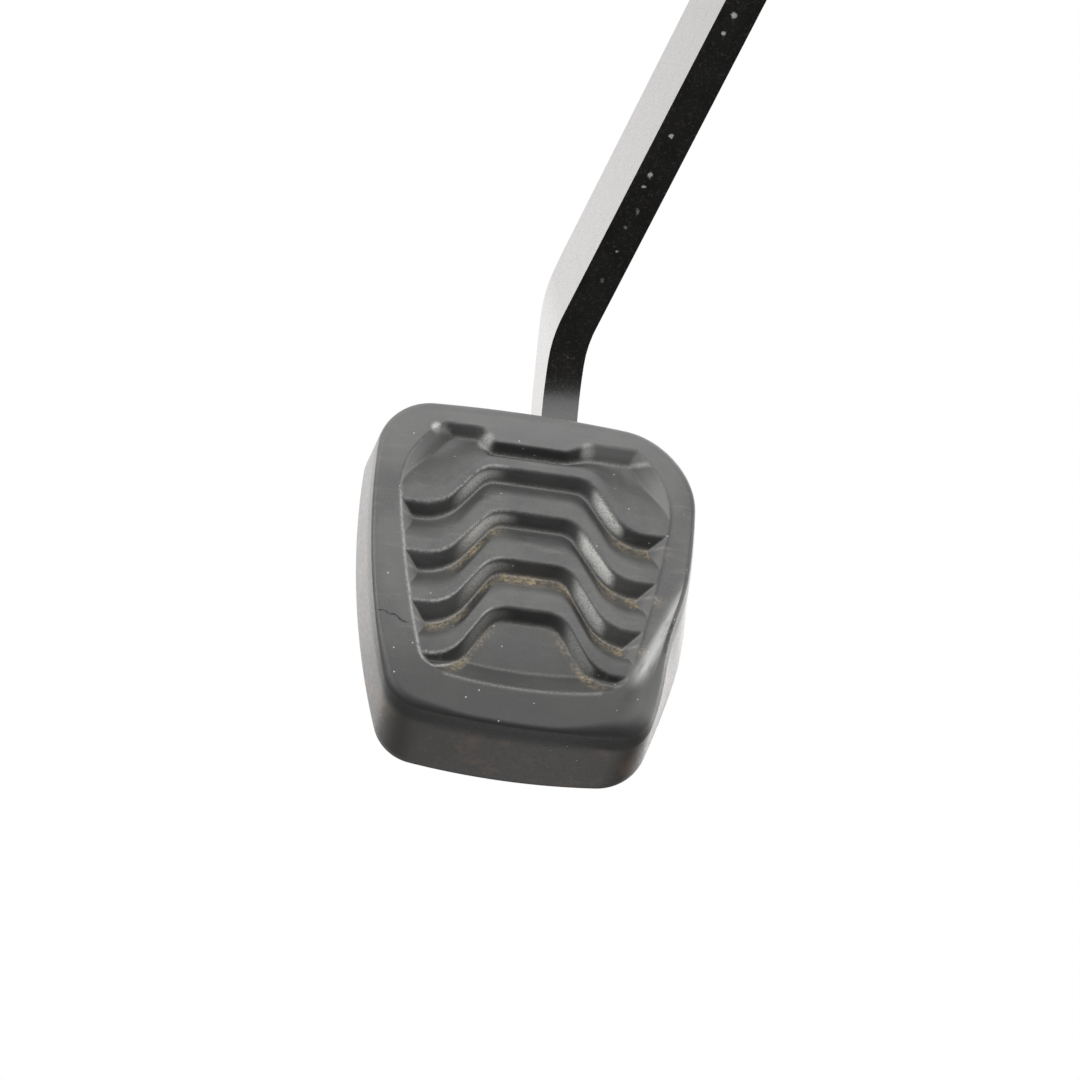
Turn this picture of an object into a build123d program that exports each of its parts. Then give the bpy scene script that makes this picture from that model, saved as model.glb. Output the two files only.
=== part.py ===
from build123d import *
import os
from math import atan2, cos, degrees, floor, pi, radians, sin, sqrt, tan

# Suspended clutch pedal on its bulkhead bracket, in millimetres.
# Origin: centre of the four bulkhead bolts, on the bracket's mounting face.
# +X to the driver's right, +Y forward into the bulkhead, +Z up. The driver sits at -Y.

# bracket, a hat section folded from one sheet
sheet = 3.0
cheek_gap = 44.0
bend_radius = 3.0
flange_corner = 9.0
bolt_spacing_x = 76.0
bolt_spacing_z = 88.0
bolt_hole_d = 8.6
bolt_to_side = 12.0
bolt_to_end = 14.0
web_low = -14.0
cheek_top_corner = 14.0
cheek_low_corner = 6.0
lightening_hole_d = 26.0
lightening_edge = 6.0
lightening_gap = 16.0

# pivot
pivot_y = -122.0
pivot_z = 36.0
pivot_thread_d = 10.0
bolt_clearance = 0.2
sleeve_wall = 1.9
bush_wall = 2.0
bush_flange = 1.5
bush_length = 13.0
bush_collar_d = 24.0
hub_wall = 3.0
running_clearance = 0.05
thrust_clearance = 0.25
seat_clearance = 0.05
washer_d = 20.0
washer_thickness = 2.0
pivot_hex = 16.0
pivot_head = 6.4
pivot_nut_height = 8.4
pivot_bolt_end = 3.0

# pedal arm, a flat bar cut to shape and bent twice sideways
arm_thickness = 7.2
head_depth = 32.0
eye_radius = 19.5
arm_depth_low = 24.4
arm_foot_end_depth = 8.0
arm_bend_radius = 32.0
low_bend_height = 29.6
high_bend_height = 126.0
front_curve_radius = 24.0
rear_curve_radii = (20.0, 24.0)
waist_drop = 21.0
waist_height = 33.5

# pushrod pin riveted through the arm
pin_below_pivot = 66.0
pin_d = 8.0
pin_journal = 10.5
pin_collar_d = 14.0
pin_collar = 2.0
pin_groove = 1.2
pin_groove_depth = 0.8
pin_tip = 2.2
rivet_d = 9.0
rivet_head_d = 14.0
rivet_head = 2.0

# up-stop: a bolt through the bracket's web with a rubber cap on its tip
stop_below_pivot = 34.0
stop_thread_d = 8.0
stop_hex = 13.0
stop_head = 5.3
stop_nut_height = 6.5
stop_adjustment = 8.0
stop_cap_d = 15.0
stop_cap = 7.0
stop_cap_cover = 3.0
stop_web_gap = 18.0
stop_gap = 0.3

# return spring, wound round a nylon liner on the hub
wire_d = 2.6
wire_sides = 8
coil_gap = 0.3
coil_clearance = 0.3
coil_side_clearance = 1.3
liner_wall = 0.9
static_leg = 30.0
hook_length = 7.0
saddle_wall = 1.5
saddle_height = 12.0
saddle_grip = 8.0
saddle_below_pivot = 36.0

# pad, in its own axes: u to the right, v up the face, w out of the face
pad_from_pivot = (-33.0, -59.4, -278.0)
pad_face_lean = 45.0
pad_depth = 18.5
pad_half_width = 31.85
pad_widest_v = 12.0
pad_side_radius = 144.0
pad_top_v = 31.25
pad_top_radius = 290.0
pad_bottom_front_v = -34.25
pad_bottom_back_v = -38.5
pad_bottom_radius = 157.0
pad_top_corner = 15.5
pad_bottom_corner = 8.5
pad_side_draft = 0.5
pad_rim_radius = 1.5
pad_back_radius = 0.8
arm_beside_pad = 6.0

# tread: a tapered recess crossed by four waved ridges
tread_depth = 3.0
crest_below_rim = 0.2
recess_side_run = 2.7
recess_top_run = 1.4
recess_bottom_run = 4.3
rim_top = 6.25
rim_bottom = 8.15
rim_side = 5.75
recess_corner_cut = 1.4
# points down the recess's wall: how far in from its widest place, and below its top or above its foot
recess_corner = (5.3, 0.7)
recess_shoulder = (1.1, 6.4)
recess_widest_drop = 15.5
recess_flank = (2.2, 21.1)
recess_ankle = (5.8, 5.5)
recess_heel = (8.5, 1.8)
recess_foot_bow = 0.4
tab_half_width = 8.2
tab_step = 1.5
riser_run = 1.7
groove_floor = 0.4
land_width = 3.0
crest_radius = 6.0
trough_radius = 8.0
# each ridge: its ends and its plateau below the recess's top edge, half plateau, half foot, land
ridges = (
    (16.6, 7.0, 10.4, 18.1, 1.8),
    (26.4, 15.3, 8.2, 17.0, 3.0),
    (36.6, 25.3, 7.8, 15.8, 3.0),
    (46.4, 35.1, 7.0, 14.4, 3.0),
)

# foot plate pressed into the back of the pad
plate_thickness = 3.0
plate_inset = 4.5
plate_lip = 3.0
lip_cover = 4.5
plate_hole_d = 8.0
plate_hole_u = 15.0
arm_slot_clearance = 0.4
arm_foot_low_v = -13.0

# worked out from the driving dimensions
half_arm = arm_thickness / 2
sleeve_bore_d = pivot_thread_d + 2 * bolt_clearance
sleeve_d = sleeve_bore_d + 2 * sleeve_wall
bush_bore_d = sleeve_d + 2 * running_clearance
hub_bore_d = bush_bore_d + 2 * bush_wall
hub_d = hub_bore_d + 2 * hub_wall
cheek_inner = cheek_gap / 2
cheek_outer = cheek_inner + sheet
flange_half_width = bolt_spacing_x / 2 + bolt_to_side
flange_half_height = bolt_spacing_z / 2 + bolt_to_end
hub_length = cheek_gap - 2 * (bush_flange + thrust_clearance)
arm_front_y = pivot_y - head_depth / 2
web_inner_y = arm_front_y - stop_web_gap
web_outer_y = web_inner_y - sheet
stop_z = pivot_z - stop_below_pivot
pin_z = pivot_z - pin_below_pivot
pad_x = pad_from_pivot[0]
pad_y = pivot_y + pad_from_pivot[1]
pad_z = pivot_z + pad_from_pivot[2]
lean = radians(pad_face_lean)
recess_top_v = pad_top_v - rim_top
recess_bottom_v = pad_bottom_front_v + rim_bottom
recess_half_width = pad_half_width - rim_side
pad_plane = Plane(origin=(pad_x, pad_y, pad_z), x_dir=(1, 0, 0), z_dir=(0, -cos(lean), sin(lean)))
plate_back_w = plate_lip - pad_depth
foot_x = pad_x + arm_beside_pad
liner_bore_d = hub_d + 2 * seat_clearance
liner_d = liner_bore_d + 2 * liner_wall
coil_radius = liner_d / 2 + coil_clearance + wire_d / 2
coil_pitch = wire_d + coil_gap


def pad_point(v, w):
    """Row-frame (y, z) of a point on the pad's middle line."""
    return (pad_y + v * sin(lean) - w * cos(lean), pad_z + v * cos(lean) + w * sin(lean))


def tube(outer_d, bore_d, x_from, x_to, y=pivot_y, z=pivot_z):
    """Round tube or, with no bore, a round bar along X."""
    length = x_to - x_from
    body = Cylinder(outer_d / 2, length)
    if bore_d:
        body -= Cylinder(bore_d / 2, length)
    return Pos((x_from + x_to) / 2, y, z) * Rot(0, 90, 0) * body


def hexagon(across, height):
    """Hexagonal prism standing on the local XY plane, with its outer corners turned off."""
    blank = extrude(RegularPolygon(across / 2, 6, major_radius=False), height)
    corner = across / sqrt(3)
    turned = Cylinder(corner, height, align=(Align.CENTER, Align.CENTER, Align.MIN))
    turned = chamfer(turned.edges().sort_by(Axis.Z)[-1], corner - across / 2)
    return blank & turned


def sheet_prism(outline, x_from, x_to):
    """Solid between two X planes from a closed outline of (y, z) points with corner radii."""
    points = [p for p, r in outline]
    face = make_face(Polyline(*points, close=True))
    for point, radius in outline:
        if radius:
            corner = face.vertices().sort_by_distance(Vector(*point, 0))[0]
            face = fillet(corner, radius)
    return Pos(x_from, 0, 0) * (Plane.YZ * extrude(face, x_to - x_from))


def make_bracket():
    """Hat section, trimmed to the side profile of its cheeks, then pierced."""
    half_width = flange_half_width
    half = flange_half_height
    outside = [(-half_width, 0), (-cheek_inner, 0), (-cheek_inner, web_inner_y),
               (cheek_inner, web_inner_y), (cheek_inner, 0), (half_width, 0),
               (half_width, -sheet), (cheek_outer, -sheet), (cheek_outer, web_outer_y),
               (-cheek_outer, web_outer_y), (-cheek_outer, -sheet), (-half_width, -sheet)]
    section = make_face(Polyline(*outside, close=True))
    inner_bends = [(-cheek_inner, web_inner_y), (cheek_inner, web_inner_y),
                   (-cheek_outer, -sheet), (cheek_outer, -sheet)]
    outer_bends = [(-cheek_outer, web_outer_y), (cheek_outer, web_outer_y),
                   (-cheek_inner, 0), (cheek_inner, 0)]
    for corners, radius in ((inner_bends, bend_radius), (outer_bends, bend_radius + sheet)):
        for corner in corners:
            section = fillet(section.vertices().sort_by_distance(Vector(*corner, 0))[0], radius)
    folded = Pos(0, 0, -half) * extrude(section, 2 * half)
    side = sheet_prism([((1, -half), 0), ((1, half), 0), ((-sheet - bend_radius, half), 0),
                        ((web_outer_y, half), cheek_top_corner),
                        ((web_outer_y, web_low), cheek_low_corner),
                        ((-sheet - bend_radius, -half), 0)],
                       -half_width, half_width)
    front = Pos(0, 1, 0) * (Plane.XZ * extrude(
        RectangleRounded(2 * half_width, 2 * half, flange_corner), 2 - web_outer_y))
    bracket = folded & side & front

    for x in (-bolt_spacing_x / 2, bolt_spacing_x / 2):
        for z in (-bolt_spacing_z / 2, bolt_spacing_z / 2):
            bracket -= Pos(x, 0, z) * Rot(90, 0, 0) * Cylinder(bolt_hole_d / 2, 4 * sheet)
    bracket -= tube(sleeve_bore_d, 0, -2 * cheek_outer, 2 * cheek_outer)
    # two lightening holes, one above the other, clear of the cheek's sloping lower edge
    hole_y = (pivot_y + eye_radius) / 2 - bend_radius
    edge_z = -half + (half + web_low) * hole_y / web_outer_y
    low_z = edge_z + lightening_edge + lightening_hole_d / 2
    for z in (low_z, low_z + lightening_hole_d + lightening_gap):
        bracket -= tube(lightening_hole_d, 0, -2 * cheek_outer, 2 * cheek_outer, hole_y, z)
    bracket -= Pos(0, web_inner_y, stop_z) * Rot(90, 0, 0) * Cylinder(
        stop_thread_d / 2 + bolt_clearance, 4 * sheet)
    hook_hole = wire_d + 2 * bolt_clearance
    bracket -= tube(hook_hole, 0, -2 * cheek_outer, 0, pivot_y + static_leg,
                    pivot_z + coil_radius)
    return bracket


def make_pivot_bolt():
    """Hexagon bolt across both cheeks, its head on the right."""
    seat = cheek_outer + washer_thickness
    end = -seat - pivot_nut_height - pivot_bolt_end
    shank = tube(pivot_thread_d, 0, end, seat)
    shank = chamfer(shank.edges().sort_by(Axis.X)[0], pivot_thread_d / 10)
    head = Pos(seat, pivot_y, pivot_z) * Rot(0, 90, 0) * hexagon(pivot_hex, pivot_head)
    return shank + head


def make_nut(across, height, bore_d):
    """Hexagon nut standing on the local XY plane."""
    return hexagon(across, height) - Cylinder(bore_d / 2, 3 * height)


def make_bush(side):
    """Flanged nylon bush pressed into one end of the hub; side is -1 or +1."""
    hub_end = side * hub_length / 2
    inner = hub_end - side * bush_length
    outer = hub_end + side * bush_flange
    barrel = tube(hub_bore_d - 2 * seat_clearance, bush_bore_d, *sorted((inner, hub_end)))
    collar = tube(bush_collar_d, bush_bore_d, *sorted((hub_end, outer)))
    return barrel + collar


def arm_band():
    """Front outline of the bent bar: two sideways bends of the same angle."""
    low_z = pad_z + low_bend_height
    high_z = pad_z + high_bend_height
    turn = atan2(-foot_x, high_z - low_z)
    top_z = pivot_z + 2 * eye_radius
    bottom_z = pad_z - 2 * pad_half_width
    borders = []
    for side in (-1, 1):
        shift = side * half_arm
        drop = shift * tan(turn / 2)
        points = [(foot_x + shift, bottom_z), (foot_x + shift, low_z - drop),
                  (shift, high_z - drop), (shift, top_z)]
        radii = [arm_bend_radius - shift, arm_bend_radius + shift]
        borders.append(FilletPolyline(*points, radius=radii))
    left, right = borders
    foot = Line(left @ 0, right @ 0)
    head = Line(left @ 1, right @ 1)
    return Plane.XZ * make_face([left, head, right, foot])


def arm_side():
    """Side outline of the bar: round head, long taper, waist and swept foot."""
    rear_head_y = arm_front_y + head_depth
    curve_y, curve_z = pad_point(0, plate_back_w)
    turn = pi / 2 - lean
    run = front_curve_radius * tan(turn / 2)
    # the front edge lies on the back of the foot plate, then turns upright
    corner_z = curve_z + (arm_front_y - curve_y) / tan(lean)
    foot_low = pad_point(arm_foot_low_v, plate_back_w)
    foot_tip = pad_point(arm_foot_low_v, plate_back_w - arm_foot_end_depth)
    rear_low_y = arm_front_y + arm_depth_low
    waist_z = pad_z + waist_height
    knee = (rear_low_y - waist_drop * 0.7, waist_z - waist_drop)
    outline = FilletPolyline((rear_head_y, pivot_z), (rear_low_y, waist_z), knee, foot_tip,
                             foot_low, (arm_front_y, corner_z), (arm_front_y, pivot_z),
                             radius=[rear_curve_radii[0], rear_curve_radii[1],
                                     arm_foot_end_depth / 3, 1.0, front_curve_radius])
    top = Line(outline @ 1, outline @ 0)
    return Plane.YZ * make_face([outline, top])


def make_arm():
    """The bar is where its side outline and its front outline overlap."""
    reach = 2 * pad_half_width + abs(foot_x)
    blank = Pos(-reach, 0, 0) * extrude(arm_side(), 2 * reach)
    blank += tube(2 * eye_radius, 0, -reach, reach)
    band = Pos(0, 1, 0) * extrude(arm_band(), -2 * abs(pad_y), both=True)
    arm = blank & band
    arm -= tube(hub_d + 2 * seat_clearance, 0, -reach, reach)
    arm -= tube(rivet_d, 0, -reach, reach, pivot_y, pin_z)
    return arm


def make_pin():
    """Headed pin: rivet head, shank through the arm, collar, journal, snap groove and tip."""
    start = -half_arm
    collar_from = half_arm
    journal_from = collar_from + pin_collar
    groove_from = journal_from + pin_journal
    tip_from = groove_from + pin_groove
    end = tip_from + pin_tip
    head = tube(rivet_head_d, 0, start - rivet_head, start, pivot_y, pin_z)
    head = chamfer(head.edges().sort_by(Axis.X)[0], rivet_head * 0.6)
    pin = head + tube(rivet_d - 2 * seat_clearance, 0, start, collar_from, pivot_y, pin_z)
    pin += tube(pin_collar_d, 0, collar_from, journal_from, pivot_y, pin_z)
    pin += tube(pin_d, 0, journal_from, groove_from, pivot_y, pin_z)
    pin += tube(pin_d - 2 * pin_groove_depth, 0, groove_from, tip_from, pivot_y, pin_z)
    tip = tube(pin_d, 0, tip_from, end, pivot_y, pin_z)
    return pin + chamfer(tip.edges().sort_by(Axis.X)[-1], pin_tip * 0.4)


def along_y(shape, y, z):
    """Stands a shape made on the XY plane out of a wall, pointing forward."""
    return Pos(0, y, z) * Rot(-90, 0, 0) * shape


def make_stop_bolt():
    """Adjusting bolt: head on the driver's side, tip inside the rubber cap."""
    tip_y = arm_front_y - stop_gap - stop_cap + stop_cap_cover + seat_clearance
    head_y = web_outer_y - stop_nut_height - stop_adjustment
    shank = Cylinder(stop_thread_d / 2, tip_y - head_y,
                     align=(Align.CENTER, Align.CENTER, Align.MIN))
    shank = chamfer(shank.edges().sort_by(Axis.Z)[-1], stop_thread_d / 10)
    head = Pos(0, 0, 0) * Rot(180, 0, 0) * hexagon(stop_hex, stop_head)
    return along_y(shank + head, head_y, stop_z)


def make_stop_cap():
    """Rubber cap on the tip of the stop bolt; it meets the front edge of the arm."""
    cap = Cylinder(stop_cap_d / 2, stop_cap, align=(Align.CENTER, Align.CENTER, Align.MIN))
    cap = chamfer(cap.edges().sort_by(Axis.Z)[-1], stop_cap / 5)
    socket = Cylinder(stop_thread_d / 2 + seat_clearance, stop_cap - stop_cap_cover + 1,
                      align=(Align.CENTER, Align.CENTER, Align.MIN))
    socket_depth = stop_cap_cover + seat_clearance
    cap -= Pos(0, 0, socket_depth - (stop_cap - stop_cap_cover + 1)) * socket
    return along_y(cap, arm_front_y - stop_gap - stop_cap, stop_z)


def leg_ends():
    """Angle of the coil where the moving leg leaves it, and the length of that leg."""
    leg_y = head_depth / 2 + saddle_wall + seat_clearance + wire_d / 2
    leg_z = -saddle_below_pivot
    reach = sqrt(leg_y ** 2 + leg_z ** 2)
    length = sqrt(reach ** 2 - coil_radius ** 2)
    return degrees(atan2(leg_z, leg_y) - atan2(length, coil_radius)) % 360.0, length


def make_spring():
    """Torsion spring: hooked leg in the left cheek, coil, leg across the arm's rear edge."""
    end_angle, leg_length = leg_ends()
    # as many whole turns as the room between the cheek and the arm holds
    room = hub_length / 2 - half_arm - wire_d - 2 * coil_side_clearance
    part_turn = (end_angle - 90.0) / 360.0
    turns = floor(room / coil_pitch - part_turn) + part_turn
    x_start = -hub_length / 2 + coil_side_clearance + wire_d / 2
    # the coil starts at its top and winds towards the arm
    stand = Plane(origin=(x_start, pivot_y, pivot_z), x_dir=(0, 0, 1), z_dir=(1, 0, 0))
    coil = stand.location * Helix(coil_pitch, turns * coil_pitch, coil_radius)
    anchor = coil @ 0 - (coil % 0) * static_leg
    hook = anchor - Vector(hook_length, 0, 0)
    tail = coil @ 1 + (coil % 1) * leg_length
    crossing = Vector(half_arm + saddle_wall, tail.Y, tail.Z)
    first_leg = FilletPolyline(hook, anchor, coil @ 0, radius=wire_d)
    last_leg = FilletPolyline(coil @ 1, tail, crossing, radius=wire_d)
    path = Wire([*first_leg.edges(), *coil.edges(), *last_leg.edges()])
    ring = Plane(origin=path @ 0, z_dir=path % 0) * RegularPolygon(wire_d / 2, wire_sides)
    return sweep(ring, path=path)


def make_liner():
    """Nylon sleeve between the coil and the hub."""
    return tube(liner_d, liner_bore_d, -hub_length / 2, -half_arm - seat_clearance)


def make_saddle():
    """Nylon saddle clipped over the arm's rear edge, under the spring's leg."""
    rear = pivot_y + head_depth / 2
    z = pivot_z - saddle_below_pivot
    grip = Pos(0, rear + saddle_wall - (saddle_grip + saddle_wall) / 2, z)
    block = grip * Box(arm_thickness + 2 * saddle_wall, saddle_grip + saddle_wall, saddle_height)
    block = fillet(block.edges().filter_by(Axis.Z), saddle_wall / 2)
    slot = Pos(0, rear + seat_clearance - saddle_grip, z)
    return block - slot * Box(arm_thickness + 2 * seat_clearance, 2 * saddle_grip, 2 * saddle_height)


def pad_outline(bottom_v, inset, w):
    """Pad's outline: crowned top, bowed sides narrowing downwards, bowed foot."""
    def side_u(v):
        return pad_half_width - (v - pad_widest_v) ** 2 / (2 * pad_side_radius) - inset

    def top_at(u):
        return pad_top_v - inset - u ** 2 / (2 * pad_top_radius)

    def bottom_at(u):
        return bottom_v + inset + u ** 2 / (2 * pad_bottom_radius)

    top_v = bottom_low = 0.0
    for _ in range(6):
        top_v = top_at(side_u(top_v))
        bottom_low = bottom_at(side_u(bottom_low))
    top_u, low_u = side_u(top_v), side_u(bottom_low)
    mid_v = (top_v + bottom_low) / 2
    mid_u = side_u(mid_v)
    face = make_face([
        ThreePointArc((-top_u, top_v), (0, top_at(0)), (top_u, top_v)),
        ThreePointArc((top_u, top_v), (mid_u, mid_v), (low_u, bottom_low)),
        ThreePointArc((low_u, bottom_low), (0, bottom_at(0)), (-low_u, bottom_low)),
        ThreePointArc((-low_u, bottom_low), (-mid_u, mid_v), (-top_u, top_v)),
    ])
    corners = face.vertices().sort_by(Axis.Y)
    face = fillet(corners[-2:], max(pad_top_corner - inset, 1.0))
    face = fillet(face.vertices().sort_by_distance(Vector(low_u, bottom_low, 0))[0],
                  max(pad_bottom_corner - inset, 1.0))
    face = fillet(face.vertices().sort_by_distance(Vector(-low_u, bottom_low, 0))[0],
                  max(pad_bottom_corner - inset, 1.0))
    return Pos(0, 0, w) * face


def recess_outline(w):
    """Tread recess at height w: its walls slope, so it shrinks towards the floor."""
    depth = -w / tread_depth
    side, top, low = (run * depth for run in (recess_side_run, recess_top_run, recess_bottom_run))
    wide = recess_half_width - side
    top_v = recess_top_v - top
    cut = recess_corner_cut
    tab = tab_half_width - top / 2
    low_v = recess_bottom_v + low
    corner = (wide - recess_corner[0], top_v - recess_corner[1])
    shoulder = (wide - recess_shoulder[0], top_v - recess_shoulder[1])
    widest = (wide, top_v - recess_widest_drop)
    flank = (wide - recess_flank[0], low_v + recess_flank[1] - low / 2)
    ankle = (wide - recess_ankle[0], low_v + recess_ankle[1] - low / 2)
    heel = (wide - recess_heel[0], low_v + recess_heel[1])
    right = [
        Line((0, top_v - tab_step), (tab, top_v - tab_step)),
        Line((tab, top_v - tab_step), (tab + tab_step, top_v)),
        Line((tab + tab_step, top_v), (corner[0] - cut, top_v)),
        Line((corner[0] - cut, top_v), corner),
        ThreePointArc(corner, shoulder, widest),
        ThreePointArc(widest, flank, ankle),
        Line(ankle, heel),
        ThreePointArc(heel, (heel[0] / 2, low_v + recess_foot_bow), (0, low_v)),
    ]
    left = [edge.mirror(Plane.YZ) for edge in right]
    return Pos(0, 0, w) * make_face(right + left)


def wave(ends_v, plateau_v, plateau_half, foot_half, offset=0.0, rise=(0.0, 0.0)):
    """Waved line across the pad, offset square to itself, or raised at its ends and plateau."""
    slope = atan2(plateau_v - ends_v, foot_half - plateau_half)
    spread = offset * tan(slope / 2)
    end = ends_v + offset + rise[0]
    top = plateau_v + offset + rise[1]
    reach = pad_half_width
    points = [(-reach, end), (-foot_half - spread, end), (-plateau_half - spread, top),
              (plateau_half + spread, top), (foot_half + spread, end), (reach, end)]
    trough = max(trough_radius - offset, 1.0)
    crest = max(crest_radius + offset, 1.0)
    return FilletPolyline(*points, radius=[trough, crest, crest, trough])


def band_face(lower, upper, w):
    """Face between two waved lines."""
    left = Line(upper @ 0, lower @ 0)
    right = Line(lower @ 1, upper @ 1)
    return Pos(0, 0, w) * make_face([lower, right, upper, left])


def make_ridges():
    """Four ridges: a steep face below the crest, a level land and a long slope above it."""
    solids = []
    top_wall_v = recess_top_v - recess_top_run
    above = wave(top_wall_v, top_wall_v - tab_step, tab_half_width,
                 tab_half_width + 2 * tab_step)
    for ends_drop, plateau_drop, plateau_half, foot_half, plateau_land in ridges:
        size = (recess_top_v - ends_drop, recess_top_v - plateau_drop, plateau_half, foot_half)
        foot = wave(*size, -riser_run)
        crest = wave(*size)
        land = wave(*size, rise=(land_width, plateau_land))
        base_face = band_face(foot, above, -tread_depth)
        top_face = band_face(crest, land, -crest_below_rim)
        solids.append(loft([base_face, top_face], ruled=True))
        above = wave(*size, -riser_run - groove_floor)
    return solids


def make_pad():
    """Moulded rubber pad with its tread, the pocket for the foot plate and the arm's slot."""
    front = pad_outline(pad_bottom_front_v, pad_side_draft, 0)
    back = pad_outline(pad_bottom_back_v, 0, -pad_depth)
    pad = loft([back, front], ruled=True)
    pad = fillet(pad.edges().group_by(Axis.Z)[-1], pad_rim_radius)
    pad = fillet(pad.edges().group_by(Axis.Z)[0], pad_back_radius)
    recess = loft([recess_outline(-tread_depth), recess_outline(0)], ruled=True)
    recess += extrude(recess_outline(0), tread_depth)
    for ridge in make_ridges():
        recess -= ridge
    pad -= recess
    pad -= extrude(plate_outline(seat_clearance, plate_back_w), plate_thickness + seat_clearance)
    pad -= extrude(plate_outline(-lip_cover, -pad_depth - 1), plate_lip + 1)
    slot = arm_thickness + 2 * arm_slot_clearance
    pad -= Pos(arm_beside_pad, pad_top_v, -pad_depth) * Box(
        slot, pad_half_width, 2 * plate_lip)
    return pad_plane * pad


def plate_outline(grow, w):
    """Outline of the foot plate, grown or shrunk for its pocket and window."""
    return pad_outline(pad_bottom_front_v, plate_inset - grow, w)


def make_foot_plate():
    """Steel plate that carries the rubber pad, with two drain holes beside the arm."""
    plate = extrude(plate_outline(0, plate_back_w), plate_thickness)
    for u in (-plate_hole_u, plate_hole_u):
        plate -= Pos(u, 0, plate_back_w) * Cylinder(plate_hole_d / 2, 3 * plate_thickness)
    return pad_plane * plate


def main():
    os.makedirs("parts", exist_ok=True)
    seat = cheek_outer + washer_thickness
    nut_bore = pivot_thread_d + 2 * seat_clearance
    stop_bore = stop_thread_d + 2 * seat_clearance
    nodes = {
        "mounting_bracket": make_bracket(),
        "pivot_bolt": make_pivot_bolt(),
        "pivot_nut": Pos(-seat, pivot_y, pivot_z) * Rot(0, -90, 0) * make_nut(
            pivot_hex, pivot_nut_height, nut_bore),
        "washer_right": tube(washer_d, sleeve_bore_d, cheek_outer, seat),
        "washer_left": tube(washer_d, sleeve_bore_d, -seat, -cheek_outer),
        "spacer_sleeve": tube(sleeve_d, sleeve_bore_d, -cheek_inner, cheek_inner),
        "stop_bolt": make_stop_bolt(),
        "stop_weld_nut": along_y(make_nut(stop_hex, stop_nut_height, stop_bore),
                                 web_inner_y, stop_z),
        "stop_lock_nut": along_y(make_nut(stop_hex, stop_nut_height, stop_bore),
                                 web_outer_y - stop_nut_height, stop_z),
        "stop_cap": make_stop_cap(),
        "return_spring": make_spring(),
        "pedal_arm": make_arm(),
        "pivot_hub": tube(hub_d, hub_bore_d, -hub_length / 2, hub_length / 2),
        "bush_left": make_bush(-1),
        "bush_right": make_bush(1),
        "spring_liner": make_liner(),
        "spring_saddle": make_saddle(),
        "pushrod_pin": make_pin(),
        "foot_plate": make_foot_plate(),
        "pad_rubber": make_pad(),
    }
    for name, solid in nodes.items():
        export_step(solid, f"parts/{name}.step")


main()
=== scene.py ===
# %% [markdown]
# A clutch pedal hangs from the bulkhead of a car. The driver's foot meets a moulded rubber pad, and a
# cranked steel bar carries that push up to a pivot. The solid model gives every piece its size and
# place; this file gives them their finish and sets the light and the camera.

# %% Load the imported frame
import bpy
import math
import numpy as np
from mathutils import Matrix, Vector


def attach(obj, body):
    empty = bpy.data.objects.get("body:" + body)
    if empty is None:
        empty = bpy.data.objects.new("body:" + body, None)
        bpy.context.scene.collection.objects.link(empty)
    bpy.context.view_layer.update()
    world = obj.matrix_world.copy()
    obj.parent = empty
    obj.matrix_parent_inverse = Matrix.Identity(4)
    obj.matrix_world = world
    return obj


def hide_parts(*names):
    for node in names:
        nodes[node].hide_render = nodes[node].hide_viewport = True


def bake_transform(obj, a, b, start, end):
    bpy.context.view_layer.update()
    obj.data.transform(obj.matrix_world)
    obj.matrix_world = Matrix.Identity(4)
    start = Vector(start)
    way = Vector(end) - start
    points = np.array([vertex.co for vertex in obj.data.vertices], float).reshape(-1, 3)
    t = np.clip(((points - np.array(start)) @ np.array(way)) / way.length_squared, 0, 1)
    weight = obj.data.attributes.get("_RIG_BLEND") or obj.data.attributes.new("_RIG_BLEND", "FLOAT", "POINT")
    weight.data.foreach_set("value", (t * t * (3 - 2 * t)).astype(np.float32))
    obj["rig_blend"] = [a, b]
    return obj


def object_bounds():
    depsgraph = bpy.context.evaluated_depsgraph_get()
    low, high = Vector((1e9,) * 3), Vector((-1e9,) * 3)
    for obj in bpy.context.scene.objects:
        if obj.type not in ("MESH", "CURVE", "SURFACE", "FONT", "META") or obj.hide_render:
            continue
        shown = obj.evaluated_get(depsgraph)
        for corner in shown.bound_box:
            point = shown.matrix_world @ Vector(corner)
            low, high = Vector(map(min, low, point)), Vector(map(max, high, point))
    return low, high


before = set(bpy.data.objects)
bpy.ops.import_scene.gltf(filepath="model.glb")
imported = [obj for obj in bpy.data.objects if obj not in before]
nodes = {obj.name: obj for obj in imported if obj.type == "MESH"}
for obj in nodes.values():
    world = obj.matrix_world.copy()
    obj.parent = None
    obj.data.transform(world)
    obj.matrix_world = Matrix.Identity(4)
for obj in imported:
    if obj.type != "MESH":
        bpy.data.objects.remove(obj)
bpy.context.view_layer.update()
MM = 0.001

# %% [markdown]
# The pad has axes of its own: u to the right, v up its face and w out of the face. Everything on the
# pad is easier to say in them, in millimetres, and one small function turns them into the row's metres.

# %% The pad's own axes
pivot = Vector((0.0, -0.122, 0.036))
pad_centre = pivot + Vector((-0.033, -0.0594, -0.278))
pad_lean = math.radians(45.0)
pad_right = Vector((1.0, 0.0, 0.0))
pad_up = Vector((0.0, math.sin(pad_lean), math.cos(pad_lean)))
pad_out = Vector((0.0, -math.cos(pad_lean), math.sin(pad_lean)))


def pad_place(u, v, w):
    """Row position, in metres, of a point given in the pad's millimetres."""
    return pad_centre + MM * (u * pad_right + v * pad_up + w * pad_out)


print("pad centre", tuple(round(x, 4) for x in pad_centre))

# %% [markdown]
# A long lens stands 0.8 m away, above the pad and a little to its left, and is tilted so that the arm
# runs off the top edge. The way the pad's symmetric tread narrows in the picture gives this place.

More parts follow.
